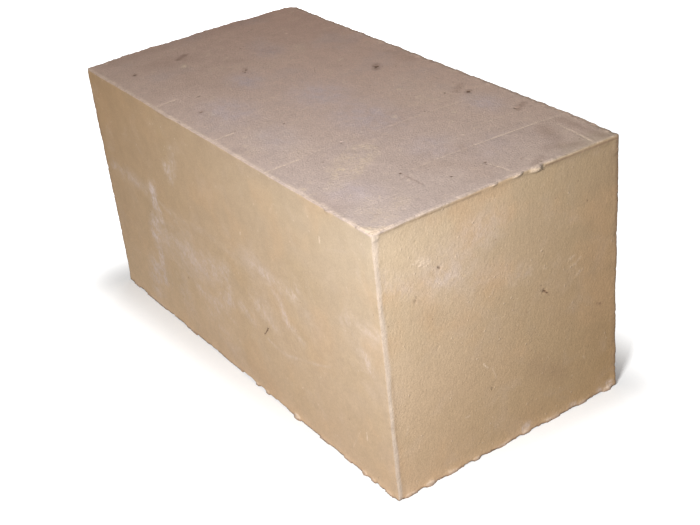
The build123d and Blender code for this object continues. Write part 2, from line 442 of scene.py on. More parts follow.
scratches = {  # start, end, width, depth (less than nothing for a ridge), how pale
    "top": (
        (-59.4, -60, -59.2, -73.5, 0.8, 0.12, 0.9), (6.6, -60, 6.8, -73.5, 0.7, 0.12, 0.9),
        (60.2, -54, 59.8, -73.5, 0.7, 0.12, 0.9), (126, -39, 126.2, -66, 0.6, 0.06, 0.3),
        (113.6, 70, 112.2, 54, 0.7, 0.1, 0.6), (112.2, 54, 111.4, 26, 0.7, 0.14, 0.95),
        (111.4, 26, 110.8, 14, 0.7, 0.12, 0.8), (110.8, 10, 110.6, -22, 0.6, 0.08, 0.45),
        (121, 61, 134, 60.4, 0.7, 0.12, 0.8), (134, 60.4, 147.5, 59.2, 0.8, 0.14, 0.95),
        (63, 54, 62, 24, 0.6, 0.08, 0.5), (62, 24, 61.5, -10, 0.6, 0.06, 0.35),
        (94, 54, 93.6, 35, 0.6, 0.08, 0.45), (132.5, 7.2, 146.5, 9.2, 0.6, 0.1, 0.7),
        (58, -31, 59.6, -53, 0.6, 0.05, 0.3), (146.6, 27.8, 148.6, 24.6, 0.7, 0.1, 0.4),
        (146, -72.6, 149, -71.8, 2.2, -0.35, 0.9), (144.2, -71.8, 148.2, -68.2, 2.2, -0.25, 1),
        (141, -73.2, 146.5, -72.6, 1.4, -0.25, 0.8), (148.8, -72, 149.2, -62, 1.2, -0.2, 0.8),
        (132, -73.6, 139, -73.2, 1.1, -0.2, 0.6), (23.6, 34, 24.8, 34.2, 1.3, -0.16, 0.5),
        (39.4, 34.6, 40.8, 34.2, 1.3, -0.14, 0.4), (71, 35, 72, 34.8, 1.2, -0.16, 0.5),
        (53, 10.4, 54, 9.6, 1.3, -0.16, 0.5), (80, 27.4, 81, 26.6, 1.2, -0.14, 0.4),
        (96, 20.4, 97.6, 20, 1.2, -0.12, 0.4), (56, -13, 57, -13.4, 1.1, -0.12, 0.35),
        (101, 33.6, 102, 33.4, 1.1, -0.12, 0.35), (7, -41.4, 8, -41, 1.1, -0.12, 0.35),
        (118, -30, 119.4, -30.6, 1.2, -0.12, 0.4),
    ),
    "front": (
        (104.6, 127.6, 104.8, 131.2, 0.6, -0.08, 0.9), (22.8, 100.6, 23.4, 102, 0.7, -0.08, 0.8),
        (126.5, 24.5, 126.8, 29.5, 0.6, -0.08, 0.9), (66.6, 24.6, 68, 25.6, 0.5, -0.05, 0.6),
        (112, 12, 121, 27, 0.5, 0.06, 0.25),
    ),
    "head": (
        (-50, 123.8, -43.6, 124.6, 0.8, -0.14, 0.9), (-49.2, 125.6, -46.6, 125.2, 0.8, -0.12, 0.7),
        (-51, 126.4, -47.6, 127.2, 0.7, -0.1, 0.7), (-53.4, 126, -51, 125.6, 0.7, -0.1, 0.5),
        (-47, 122.4, -43.4, 123.4, 0.7, -0.1, 0.6), (-15.8, 55, -15, 53, 0.6, -0.08, 0.7),
        (-15, 53, -13.2, 51, 0.6, -0.08, 0.7), (-10.6, 50, -8.4, 43, 0.6, -0.06, 0.35),
        (42, 91, 45, 92, 0.8, -0.1, 0.4), (44, 86, 49, 89.5, 0.8, -0.1, 0.35),
        (46, 80, 51, 82, 0.8, -0.08, 0.3), (-28.8, 28.8, -26.4, 28.4, 0.8, -0.08, 0.4),
        (-65, 36, -63.4, 40.5, 0.7, -0.08, 0.3), (50, 29.4, 51.2, 27.4, 0.7, -0.08, 0.3),
        (24, 92.6, 26.4, 92.2, 0.7, -0.06, 0.3), (-8.6, 92, -7.4, 94, 0.7, -0.06, 0.3),
        (24, 80, 26.4, 77.6, 0.7, 0.25, 0), (18.6, 148.2, 24.6, 147.6, 2, 0, 0.9),
        (27, 148.9, 50, 148.6, 0.8, 0, 0.6), (50, 148.6, 73, 148.2, 0.8, 0, 0.5),
        (7.4, 148.9, 11.6, 148.6, 1.5, 0, 0.8), (-6.4, 149.2, -3.4, 149, 1.2, 0, 0.6),
    ),
    "back": ((-40, 70, -38, 96, 0.7, 0.08, 0.6), (88, 104, 112, 108, 0.8, 0.08, 0.6)),
    "tail": ((-30, 84, -18, 88, 0.8, 0.08, 0.7), (40, 40, 43, 52, 0.7, 0.08, 0.6)),
}

smears = {  # start, end, half width, how strong, and its own softness: rubbed clay
    "front": (
        (-46, 126, -50, 114, 4, 0.4), (-57, 112, -55, 108, 4, 0.45), (-50, 114, -56, 111, 3.5, 0.35),
        (-83, 92, -85, 84, 3.6, 0.75), (-84, 86, -81, 72, 4.4, 0.8), (-83, 74, -88, 65, 4.4, 0.7),
        (-89, 66, -94, 57, 4.6, 0.7), (-93, 58, -90, 44, 3.8, 0.8), (-91, 44, -91, 24, 3.4, 0.6),
        (-100, 30, -106, 14, 8, 0.6), (-138, 88, -108, 88, 3.8, 0.28, 1), (-108, 88, -86, 84, 2.8, 0.35, 1),
        (-84, 84, -52, 81, 1.8, 0.3, 1), (-52, 81, -20, 85, 1.8, 0.2, 1), (-20, 85, 10, 82, 2, 0.12, 1),
        (-30, 64, -12, 52, 0.8, 0.2), (-12, 52, -20, 38, 0.8, 0.22), (-20, 38, -2, 34, 0.8, 0.22),
        (-2, 64, -2, 54, 0.8, 0.2), (-60, 78, -28, 74, 0.8, 0.15), (-76, 46, -50, 44, 0.8, 0.15),
        (-75, 60, -40, 58, 8, 0.25), (-40, 58, -14, 62, 8, 0.35), (-14, 62, -2, 70, 5, 0.35),
        (-2, 66, -4, 48, 4, 0.35), (-4, 48, -22, 36, 5, 0.4), (-22, 36, -42, 40, 4, 0.3),
        (-66, 34, -60, 14, 8, 0.2), (-30, 26, -6, 12, 9, 0.15), (10, 50, 24, 48, 4, 0.3),
        (34, 88, 52, 83, 4, 0.4, 1), (52, 83, 72, 85, 4, 0.4, 1), (72, 85, 77, 93, 3, 0.25, 1),
        (52, 78, 57, 70, 3, 0.3), (57, 70, 61, 62, 2.6, 0.45), (61, 62, 74, 58, 2.6, 0.25),
        (28, 62, 46, 56, 6, 0.3), (36, 41, 50, 39, 0.9, 0.22), (50, 39, 66, 43, 0.8, 0.25),
        (66, 43, 88, 50, 0.8, 0.22), (88, 50, 100, 55, 0.8, 0.15), (117, 90, 124, 95, 3, 0.2, 0.9),
        (124, 95, 136, 94, 2.4, 0.25, 0.9), (136, 94.5, 146, 95.5, 3, 0.3, 0.9),
        (133, 79, 136, 71, 3, 0.35, 0.9), (118, 88, 134, 72, 5, 0.12), (108, 126, 128, 132, 0.8, 0.08),
    ),
    "head": (
        (-40, 112, -32, 111, 3.8, 0.35), (6, 98, 16, 92, 4.5, 0.1), (-70, 124, -58, 116, 5, 0.2),
        (8, 3, 11, 4.5, 2, 0.5), (40, 2, 43, 2, 1.6, 0.5), (62, 2, 69, 3, 2.2, 0.6),
    ),
    "top": (
        (146.4, -72.2, 149, -71.4, 2.4, 1), (143.5, -71.8, 148.4, -67, 2.2, 0.9),
        (76, -27, 83, -36, 8.5, 0.45, 0.2), (83, -36, 92, -48, 7.5, 0.45, 0.2),
        (92, -48, 98, -59, 5, 0.3, 0.3), (72, -30, 82, -48, 4, 0.4, 0.3), (-78, 34, -70, 30, 3.4, 0.3),
        (-104, -31, -102, -31.5, 1.4, 0.9), (-109, -11, -108, -12, 1.6, 0.45), (30, -46, 50, -50, 8, 0.25),
        (20, 44, 60, 48, 12, 0.15), (18, -54, 34, -62, 7, 0.3), (56, 46, 40, 20, 6, 0.2),
        (-60, 18, -80, -20, 7, 0.12), (118, -58, 140, -62, 7, 0.3), (24, 34, 25, 34, 1.2, 0.6),
        (40, 35, 41, 35, 1.2, 0.5), (71, 35, 72, 35, 1.2, 0.6), (80, 26, 81, 25, 1.2, 0.5),
        (53, 10, 54, 9, 1.4, 0.6), (-27, -56, -24, -56, 1.4, 0.6), (25, -64, 26, -64, 1.4, 0.6),
        (88, -70, 90, -70, 1.4, 0.5), (132, -44, 138, -50, 4, 0.25), (100, 8, 112, -8, 6, 0.15),
        (86, -46, 84, -44, 1.8, 1),
    ),
    "back": (
        (-110, 96, -74, 104, 6, 0.3), (-74, 104, -30, 98, 7, 0.3), (22, 60, 66, 55, 7, 0.25),
        (88, 120, 96, 92, 4, 0.5), (96, 92, 91, 70, 3.4, 0.45), (-52, 38, -10, 44, 8, 0.2),
    ),
    "tail": (
        (-40, 104, -8, 96, 6, 0.5), (12, 72, 40, 66, 7, 0.45), (-52, 40, -30, 52, 5, 0.5),
        (30, 118, 38, 96, 4, 0.6),
    ),
    "base": ((-80, -20, 40, 10, 22, 0.4), (60, 30, 110, -30, 16, 0.4)),
}

blooms = {  # place on the face, two radii, how strong: soft lavender-grey bloom
    "top": (
        (-52, -18, 18, 12, 0.5), (-20, -48, 26, 18, 0.5), (42, 0, 34, 22, 0.5), (72, 54, 18, 12, 0.5),
        (-2, 0, 26, 20, 0.5), (98, 0, 20, 16, 0.4), (112, -56, 20, 14, 0.45), (30, -50, 22, 16, 0.4),
        (118, 18, 20, 22, 0.2), (-85, 16, 16, 12, 0.35),
    ),
    "head": (
        (-36, 112, 12, 7, 0.5), (-34, 116, 24, 18, 0.35), (-12, 128, 18, 14, 0.35), (-14, 104, 20, 9, 0.2),
        (10, 96, 10, 7, 0.15),
    ),
    "front": (
        (140, 92, 12, 8, 0.2), (-100, 88, 20, 5, 0.2), (-52, 60, 34, 22, 0.3), (30, 86, 22, 10, 0.25),
        (84, 76, 14, 14, 0.2), (-84, 60, 10, 24, 0.2),
    ),
}

stainsAndShade = {  # start, end, half width, how dark: darker marks, some of them damp or burnt organic matter, and those marked below painted shade
    "top": (
        (-119, -22, -115, -29, 2.6, 0.9), (-119, -40, -112, -22, 7, 0.2), (-16, 48, -11, 44, 3, 0.8),
        (54, 59, 55.5, 57, 2.6, 0.8), (44, 61, 50, 54, 3, 0.4), (90, 62, 93, 60, 2, 0.6),
        (88, 68, 91, 62, 2.6, 0.6), (-70, -8, -64, -12, 2, 0.5), (-115, -58, -113, -59, 2.4, 0.5),
        (-33, -58, -32, -59, 2.6, 0.5), (-86, 16, -82, 18, 6, 0.15), (118, 66, 146, 68, 4, 0.45),
        (120, 52, 134, 48, 6, 0.4), (138, 40, 144, 52, 5, 0.4), (-145, 50, -144, -60, 8, 0.3),
        (143, 12, 142, -40, 8, 0.1), (118, 40, 116, 14, 14, 0.08), (144, 30, 148, 22, 3, 0.35),
        (-30, 66, -10, 68, 4, 0.25), (110, -28.4, 127, -28.4, 0.6, 0.6), (114, -27, 116, -34, 0.5, 0.4),
        (121, 63, 146, 61.5, 0.6, 0.35), (59, 24, 59.6, -4, 0.7, 0.2),
    ),
    "front": (
        # The first: painted shade along the rounded tail upright
        (-149, 20, -148, 130, 3, 0.35), (-140, 40, -130, 70, 10, 0.1), (-50, 7, 32, 6, 10, 0.14),
        # Painted shade in a band under the near top arris
        (-10, 146, 140, 145, 6, 0.12), (90, 140, 140, 138, 8, 0.06),
    ),
    "head": (
        (23.6, 80.6, 27, 77, 1.2, 0.5), (60, 57, 63, 56, 1.6, 0.4), (-54, 107, -52, 106.4, 1.2, 0.3),
        (-53, 98, -41, 92, 7, 0.1), (18, 38, 34, 26, 8, 0.22), (71, 140, 71, 10, 2.4, 0.2),
        # Painted shadow under the fin along the head's top arris
        (27, 147.5, 50, 147.1, 0.7, 0.9), (50, 147.1, 73, 146.6, 0.7, 0.8),
        # Painted shadow under the fin, painted shade below the top arris, and painted shade darkening the
        # head towards the back
        (-70, 147.8, -12, 147.6, 0.7, 0.6), (-70, 144, -8, 146, 5, 0.1), (60, 118, 61, 44, 11, 0.08),
        # Painted shade beside the pale band at the near upright
        (-69.8, 72, -70.8, 40, 0.6, 0.25), (-70.8, 40, -71.2, 12, 0.6, 0.4),
    ),
    "back": ((-93, 87, -90, 89, 2.8, 0.5), (100, 41, 102, 42, 2.4, 0.4)),
    "tail": ((30, 97, 32, 97, 2.6, 0.5), (-60, 20, -50, 34, 8, 0.3)),
}

straws = {  # start, end, half width: bits of straw
    "front": ((33.2, 43.2, 35.6, 45.6, 0.26), (35.6, 45.6, 38.8, 49.4, 0.3)),
    "head": ((24.4, 79.8, 26.4, 77.8, 0.3),),
    "back": ((-62, 112, -57.5, 110.5, 0.3), (48, 30, 49.5, 34, 0.3)),
    "tail": ((22, 48, 26, 50, 0.3),),
}

marking = {
    "scratchEnds": 0.35,  # share of its depth that a scratch keeps at its ends
    "pitEdge": (0.25, 1.15),  # shares of a pit's radius between which its dark runs out
    "scratchEdge": (0.2, 1),  # the same for the widths of the other marks
    "smearEdge": 0.85,
    "stainAndShadeEdge": (0, 1.4),
    "strawEdge": (0.5, 1.8),
    "bloomEdge": (0, 1.3),
}

fineness = {  # where the mesh stays fine when it is thinned out
    "arris": (3.2 * mm, 4.4 * mm),
    "pitRim": 2,  # past the edge of a pit, in mm
    "markRim": 1.2,
    "stainAndShade": 3.2,  # stains, painted shade and smears narrower than this are thin marks, in mm
    "smear": 5.5,
    "plain": 0.99,  # weight of plain skin, and how much of it fine skin loses
    "loss": 0.9,
    "pull": 1e-4,  # how strongly the weights steer the thinning
}


def segmentDistance(u, v, start, end):
    run = np.array(end, float) - start
    along = np.clip(((u - start[0]) * run[0] + (v - start[1]) * run[1]) / max(run @ run, 1e-9), 0, 1)
    return np.hypot(u - start[0] - along * run[0], v - start[1] - along * run[1]), along


# How far each point is from the middle of a pit, in radii that two waves make uneven
def pitDistance(u, v, pit, seed):
    u, v, radius = u - pit[0], v - pit[1], pit[2]
    wobble = 1 + 0.22 * np.sin(1.9 * u + 1.3 * v + seed) + 0.16 * np.sin(-2.7 * u + 3.1 * v + 2 * seed)
    return np.hypot(u, v) / (radius * wobble)


# Each face with its points, and their two measures on it in mm
def eachFace(places, normals):
    for face, (_, first, second) in faceAxes.items():
        there = np.nonzero(onFace(places, normals, face))[0]
        yield face, there, places[there, first] / mm, places[there, second] / mm


def pressMarks(piece):
    places, normals = readVertices(piece), readVertices(piece, "normal")
    ends = marking["scratchEnds"]
    for face, there, u, v in eachFace(places, normals):
        sunk = np.zeros(len(there))
        for number, pit in enumerate(pits.get(face, ())):
            sunk += pit[3] * np.clip(1 - pitDistance(u, v, pit, number) ** 2, 0, None)
        for scratch in scratches.get(face, ()):
            width, depth, _ = scratch[4:]
            away, along = segmentDistance(u, v, scratch[:2], scratch[2:4])
            groove = np.clip(1 - (away / width) ** 2, 0, None)
            sunk += depth * groove * (ends + (1 - ends) * np.sin(math.pi * along))
        places[there] -= np.outer(sunk * mm, faceAxes[face][0])
    writeVertices(piece, places)


def keepInBox(piece):
    places = readVertices(piece)
    low = np.array(cadBox[0]) + body["boxSlack"]
    high = np.array(cadBox[1]) - body["boxSlack"]
    low[2] = 0
    writeVertices(piece, np.clip(places, low, high))


def thinOut(piece, triangles):
    places, normals = readVertices(piece), readVertices(piece, "normal")
    fine = 1 - smooth(arrisDistance(places), *fineness["arris"])
    for face, there, u, v in eachFace(places, normals):
        near = np.zeros(len(there))
        for u0, v0, radius, _, _ in pits.get(face, ()):
            away = np.hypot(u - u0, v - v0)
            near = np.maximum(near, 1 - smooth(away, radius, radius + fineness["pitRim"]))
        thin = [mark for mark in stainsAndShade.get(face, ()) if mark[4] < fineness["stainAndShade"]]
        thin += [mark for mark in smears.get(face, ()) if mark[4] < fineness["smear"] or len(mark) > 6]
        for mark in (*scratches.get(face, ()), *straws.get(face, ()), *thin):
            away, _ = segmentDistance(u, v, mark[:2], mark[2:4])
            near = np.maximum(near, 1 - smooth(away, mark[4], mark[4] + fineness["markRim"]))
        fine[there] = np.maximum(fine[there], near)
    setGroup(piece, "plain", fineness["plain"] - fineness["loss"] * fine)
    count = sum(len(face.vertices) - 2 for face in piece.data.polygons)
    applyModifier(
        piece, "thinOut", "DECIMATE", decimate_type="COLLAPSE", ratio=min(1, triangles / count),
        vertex_group="plain", vertex_group_factor=fineness["pull"], use_collapse_triangulate=True,
    )


# Paint on the points, which the material reads

# Dry cream along the arrises: kind, strength and width in mm
arrisPaint = (("long", 0.45, 3), ("brow", 0.5, 1.3), ("foot", 0.3, 1.2))

bead = {  # the pale band beside the near uprights, on the end faces
    "width": 2.4 * mm,
    "widening": 0.009,  # as a share of the height
    "waves": ((0.5, 11 * mm), (0.3, 3.7 * mm)),  # swing in mm, length
    "edge": (0.55, 1.1),  # shares of the width
    "facing": (0.25, 0.6),
}

painting = {  # ramps of a height, of a distance from the arris or of how squarely a point faces
    "arrisEdge": 0.35,  # share of its width that the cream of an arris keeps whole
    "longFacing": (0.05, 0.5),  # upwards
    "lipFacing": (0.1, 0.45),
    "lipHeight": (3 * mm, 5 * mm),
    "roundStrip": (1.5 * mm, 3 * mm),
    "roundBefore": 60 * mm,  # across the width
    "squareOn": (0.8, 0.97),
    "tailFacing": (0.08, 0.4),
    "backFacing": (0.35, 0.85),
    "farReach": (0.5 * mm, 1.8 * mm),
    "farShares": (0.6, 0.4),  # of what faces away, and of what lies behind
    "rimStrip": (0.8 * mm, 3 * mm),
    "topReach": (0.5 * mm, 1.2 * mm),
    "endReach": (0.6 * mm, 1.4 * mm),
    "endFacing": (0.4, 0.8),
}


def ramped(value, name):
    return smooth(value, *painting[name])


def paintArrises(paint, places, normals):
    y, z = places[:, 1], places[:, 2]
    facingX, facingY, facingZ = normals.T
    below = depthBelow(places)
    far = arrisDistances(places)
    distance = np.min(list(far.values()), axis=0)
    for kind, strength, width in arrisPaint:
        there = strength * (1 - smooth(far[kind], painting["arrisEdge"] * width * mm, width * mm))
        if kind == "long":
            there *= ramped(facingZ, "longFacing")
        paint["arris"] = np.maximum(paint["arris"], there)
    lip = ramped(facingZ, "lipFacing") * (1 - ramped(below["base"], "lipHeight"))
    paint["arris"] = np.maximum(paint["arris"], lip)

    width = bead["width"] + bead["widening"] * z
    width += sum(swing * np.sin(z / length) for swing, length in bead["waves"]) * mm
    inner, outer = bead["edge"]
    band = 1 - smooth(far["upright"], inner * width, outer * width)
    paint["bead"] = band * smooth(np.abs(facingX), *bead["facing"]) * (y < 0)

    # Painted shade on the near arrises where they are round, to dull their highlight
    near = (1 - ramped(distance, "roundStrip")) * (y < painting["roundBefore"])
    squareOn = np.max(np.abs(normals), axis=1)
    paint["turned"] = (1 - ramped(squareOn, "squareOn")) * near

    # Dust and shade where the far arrises turn away
    facing = np.maximum(ramped(-facingX, "tailFacing"), ramped(facingY, "backFacing"))
    behind = 1 - ramped(np.minimum(below["tail"], below["back"]), "farReach")
    facingShare, behindShare = painting["farShares"]
    turned = np.maximum(facingShare * facing, behindShare * behind)
    paint["rim"] = turned * (1 - ramped(distance, "rimStrip"))

    paint["topSide"] = 1 - ramped(below["top"], "topReach")
    paint["endSide"] = 1 - ramped(np.minimum(below["head"], below["tail"]), "endReach")
    paint["endSide"] *= ramped(np.abs(facingX), "endFacing")


def fromMark(u, v, mark, edge):
    width = mark[4]
    away, _ = segmentDistance(u, v, mark[:2], mark[2:4])
    return 1 - smooth(away, edge[0] * width, edge[1] * width)


def markLevels(face, u, v):
    for number, pit in enumerate(pits.get(face, ())):
        yield "pit", pit[4] * (1 - smooth(pitDistance(u, v, pit, number), *marking["pitEdge"]))
    for mark in scratches.get(face, ()):
        yield "scratch", mark[6] * fromMark(u, v, mark, marking["scratchEdge"])
    for mark in smears.get(face, ()):
        soft = mark[6] if len(mark) > 6 else marking["smearEdge"]
        yield "smear", mark[5] * fromMark(u, v, mark, (1 - soft, 1 + soft))
    for mark in stainsAndShade.get(face, ()):
        yield "stainAndShade", mark[5] * fromMark(u, v, mark, marking["stainAndShadeEdge"])
    for mark in straws.get(face, ()):
        yield "pit", fromMark(u, v, mark, marking["strawEdge"])
    for u0, v0, wide, tall, strong in blooms.get(face, ()):
        away = np.hypot((u - u0) / wide, (v - v0) / tall)
        yield "bloom", strong * (1 - smooth(away, *marking["bloomEdge"]))


def paintMarks(paint, places, normals):
    for face, there, u, v in eachFace(places, normals):
        for name, level in markLevels(face, u, v):
            paint[name][there] = np.maximum(paint[name][there], level)


def paintSkin(piece):
    places, normals = readVertices(piece), readVertices(piece, "normal")
    names = (
        "topSide", "endSide", "rim", "bead", "arris", "turned", "scratch", "smear", "stainAndShade", "pit", "bloom",
    )
    paint = {name: np.zeros(len(places)) for name in names}
    paintArrises(paint, places, normals)
    paintMarks(paint, places, normals)
    for name in names:
        attribute = piece.data.attributes.new(name, "FLOAT", "POINT")
        attribute.data.foreach_set("value", paint[name].astype(np.float32))


def makeBrick():
    piece = copyOfBlock("raw_earth_block")
    addCrumbs(piece)
    voxel = body["voxel"]
    applyModifier(piece, "clay", "REMESH", mode="VOXEL", voxel_size=voxel, adaptivity=0)
    soften(piece, body["edgeSmoothing"])
    roundFlash(piece)
    shiftSkin(piece)
    print("Block remeshed:", len(piece.data.polygons), "faces")
    takeBites(piece)
    pressRelief(piece)
    pressMarks(piece)
    keepInBox(piece)
    print("Relief, bites and marks pressed")
    thinOut(piece, body["triangles"])
    keepInBox(piece)
    piece.vertex_groups.clear()
    paintSkin(piece)
    makeActive(piece)
    bpy.ops.object.shade_smooth()
    print("Block thinned out:", len(piece.data.polygons), "faces")
    return piece


# Finish: node helpers

def srgb(red, green, blue):
    return tuple(((c / 255 + 0.055) / 1.055) ** 2.4 for c in (red, green, blue)) + (1.0,)


def emptyTree(owner):
    owner.use_nodes = True
    owner.node_tree.nodes.clear()
    return owner.node_tree


def addNode(tree, kind, inputs=(), **settings):
    made = tree.nodes.new("ShaderNode" + kind)
    for name, value in settings.items():
        setattr(made, name, value)
    for key, value in dict(inputs).items():
        if isinstance(value, bpy.types.NodeSocket):
            tree.links.new(value, made.inputs[key])
        else:
            made.inputs[key].default_value = value
    return made


def calc(tree, operation, first, second=0.0, third=0.0):
    inputs = {0: first, 1: second, 2: third}
    return addNode(tree, "Math", inputs, operation=operation).outputs[0]


def product(tree, first, second):
    return calc(tree, "MULTIPLY", first, second)


def noise(tree, place, size, detail, roughness, distortion):
    inputs = {"Vector": place, "Scale": 1 / (size * mm), "Detail": detail, "Roughness": roughness,
              "Distortion": distortion}
    return addNode(tree, "TexNoise", inputs).outputs["Fac"]


def fade(tree, value, low, high, bottom=0.0, top=1.0):
    inputs = {"Value": value, "From Min": low, "From Max": high, "To Min": bottom, "To Max": top}
    return addNode(tree, "MapRange", inputs, interpolation_type="SMOOTHSTEP").outputs["Result"]


# Many small grains, whole where a point is near enough to the middle of one
def scattered(tree, place, spacing, low, high):
    inputs = {"Vector": place, "Scale": 1 / (spacing * mm)}
    return fade(tree, addNode(tree, "TexVoronoi", inputs).outputs["Distance"], low, high)


def blendColours(tree, factor, under, over):
    return addNode(tree, "Mix", {0: factor, 6: under, 7: over}, data_type="RGBA").outputs[2]


def stretched(tree, place, turn, scale):
    turn = tuple(math.radians(angle) for angle in turn)
    inputs = {"Vector": place, "Rotation": turn, "Scale": scale}
    return addNode(tree, "Mapping", inputs, vector_type="TEXTURE").outputs["Vector"]


def painted(tree, name):
    return addNode(tree, "Attribute", attribute_name=name).outputs["Fac"]


# Brightens and darkens a colour by a pattern, by as much either way
def shade(tree, colour, pattern, strength, low=0.3, high=0.7):
    swing = fade(tree, pattern, low, high, -1, 1)
    level = calc(tree, "MULTIPLY_ADD", swing, strength, 1.0)
    made = addNode(tree, "VectorMath", {0: colour, "Scale": level}, operation="SCALE")
    return made.outputs["Vector"]


earth = {
    # Each face's tone at its four corners: low and high end of its first axis at the near end of its
    # second, then the same at the far end
    "sideTones": (srgb(206, 177, 144), srgb(180, 154, 127), srgb(167, 136, 102), srgb(174, 157, 135)),
    "endTones": (srgb(193, 164, 133), srgb(172, 140, 101), srgb(200, 179, 152), srgb(169, 144, 114)),
    "topTones": (srgb(191, 164, 148), srgb(186, 169, 161), srgb(197, 161, 142), srgb(192, 169, 154)),
    "olive": srgb(174, 150, 116),
    "warm": srgb(196, 160, 122),
    "haze": srgb(207, 188, 177),
    "grey": srgb(176, 160, 156),
    "brown": srgb(166, 138, 120),
    "straw": srgb(212, 190, 166),
    "cream": srgb(224, 202, 180),
    "dark": srgb(92, 68, 50),
    "stainAndShade": srgb(120, 90, 76),
    "bloom": srgb(186, 171, 174),
    "bead": srgb(203, 186, 171),
    "foot": srgb(204, 170, 136),
    "toneBox": (0.3, 0.148, 0.15),  # what the faces' tones are stretched over
    "footRamp": (5 * mm, 0.5 * mm, 0, 0.4),  # heights, then how much of its colour
    # Painted shade: a dark line along the foot, where the block meets the floor
    "footShadeRamp": (1.8 * mm, 0.4 * mm, 0, 0.5),
    "middleRamp": (0.48, 0.1),  # share of the length from the middle, where the top is paler
    "middlePaler": 0.035,
    "turnedDarker": 0.24,  # how much painted shade darkens the rounding of the near arrises
    "crumbs": (5, 0.16, 0.06),  # spacing in mm, then where a crumb starts and where it is whole
    "specks": (8, 0.08, 0.03),
    "pitRamp": (0.05, 0.9),
    "lines": (34, 1, 0.4, 0.6),  # as the patterns below
    "lineWidths": (0.006, 0.0018),
    "roughness": (0.3, 0.7, 0.88, 0.98),  # two levels of the grain, and how rough it is there
    "specular": 0.25,
    "bump": 0.13 * mm,
}

patterns = {  # size in mm, detail, roughness, distortion, turn in degrees, stretch
    "patches": (46, 3, 0.55, 0.3),
    "warm": (27, 3, 0.5, 0),
    "dusty": (18, 4, 0.6, 0.5),
    "cloud": (34, 4, 0.55, 0),
    "drift": (52, 3, 0.5, 0.4),
    "mottle": (6, 4, 0.65, 0, (0, 0, 18), (1, 1.4, 1)),
    "grain": (0.9, 3, 0.7, 0),
    "fibres": (1.7, 4, 0.7, 0, (0, 14, 0), (1, 1, 2)),
    "blotch": (5.5, 4, 0.65, 0, (0, 14, 0), (1.6, 1, 1)),
    "edge": (3.4, 3, 0.6, 0),
    "coarse": (7, 5, 0.72, 0),
    "sandy": (1, 4, 0.7, 0),
    "peel": (1.4, 3, 0.55, 0, (-20, 0, 0), (1, 1, 1.3)),
    "combed": (1.1, 2, 0.5, 0, (0, 0, 0), (1, 1, 9)),
}

# How patterns come in: the pattern, its two levels, and what the ramp gives at each
ramps = {
    "olive": ("patches", 0.45, 0.7, 0, 0.25),
    "warm": ("warm", 0.48, 0.72),
    "haze": ("dusty", 0.5, 0.78, 0, 0.12),
    "grey": ("cloud", 0.5, 0.72, 0, 0.3),
    "brown": ("drift", 0.5, 0.72, 0, 0.25),
    "straw": ("mottle", 0.54, 0.76, 0, 0.25),
    "smearFibres": ("fibres", 0.35, 0.62, 0.3, 1.25),
    "smearBlotches": ("blotch", 0.38, 0.62, 0.3, 1.2),
    "stainAndShade": ("mottle", 0.25, 0.6, 0.5, 1),
    "bloom": ("blotch", 0.35, 0.65, 0.4, 1.2),
    "arris": ("edge", 0.34, 0.56, 0.3, 1),
    "scratch": ("grain", 0.35, 0.6, 0.4, 1),
    "lines": ("mottle", 0.5, 0.6),
    "lineColour": ("warm", 0.45, 0.55),
    "crumbs": ("dusty", 0.42, 0.58),
    "specks": ("patches", 0.48, 0.6),
}

# How strong each layer of colour is
strengths = {
    "stainAndShade": 0.7, "bead": 0.7, "arris": 0.75, "scratch": 0.8, "crumb": 0.25, "speck": 0.45, "pit": 0.85,
}

# What differs from face to face: elsewhere, then on the ends or on the top
onEnds = {
    "warm": (0.22, 0.4), "coarse": (0.045, 0.02), "peel": (0.4, 1.6), "combed": (0.15, 0.3),
    "crumb": (0.4, 1),
}
onTop = {"lines": (0.1, 0.35), "grain": (0.07, 0.11), "sandy": (0.8, 2.3)}


# The patterns, and how much of each there is after its ramps
def makePatterns(tree, place):
    made = {}
    for name, (size, detail, roughness, distortion, *turned) in patterns.items():
        spot = stretched(tree, place, *turned) if turned else place
        made[name] = noise(tree, spot, size, detail, roughness, distortion)
    level = {name: fade(tree, made[pattern], *ends) for name, (pattern, *ends) in ramps.items()}
    return made, level


def tint(tree, level, colour, name):
    return blendColours(tree, level[name], colour, earth[name])


# One colour laid over another, by its mask and its strength
def coat(tree, colour, mask, name, over):
    return blendColours(tree, product(tree, mask, strengths[name]), colour, over)


def byFace(tree, side, values):
    return fade(tree, side, 0, 1, *values)


def faceTone(tree, first, second, tones):
    near = blendColours(tree, first, tones[0], tones[1])
    far = blendColours(tree, first, tones[2], tones[3])
    return blendColours(tree, second, near, far)


# Thin wandering lines, where a smooth pattern crosses its middle
def hairlines(tree, place):
    pattern = noise(tree, place, *earth["lines"])
    away = calc(tree, "ABSOLUTE", calc(tree, "SUBTRACT", pattern, 0.5))
    return fade(tree, away, *earth["lineWidths"])


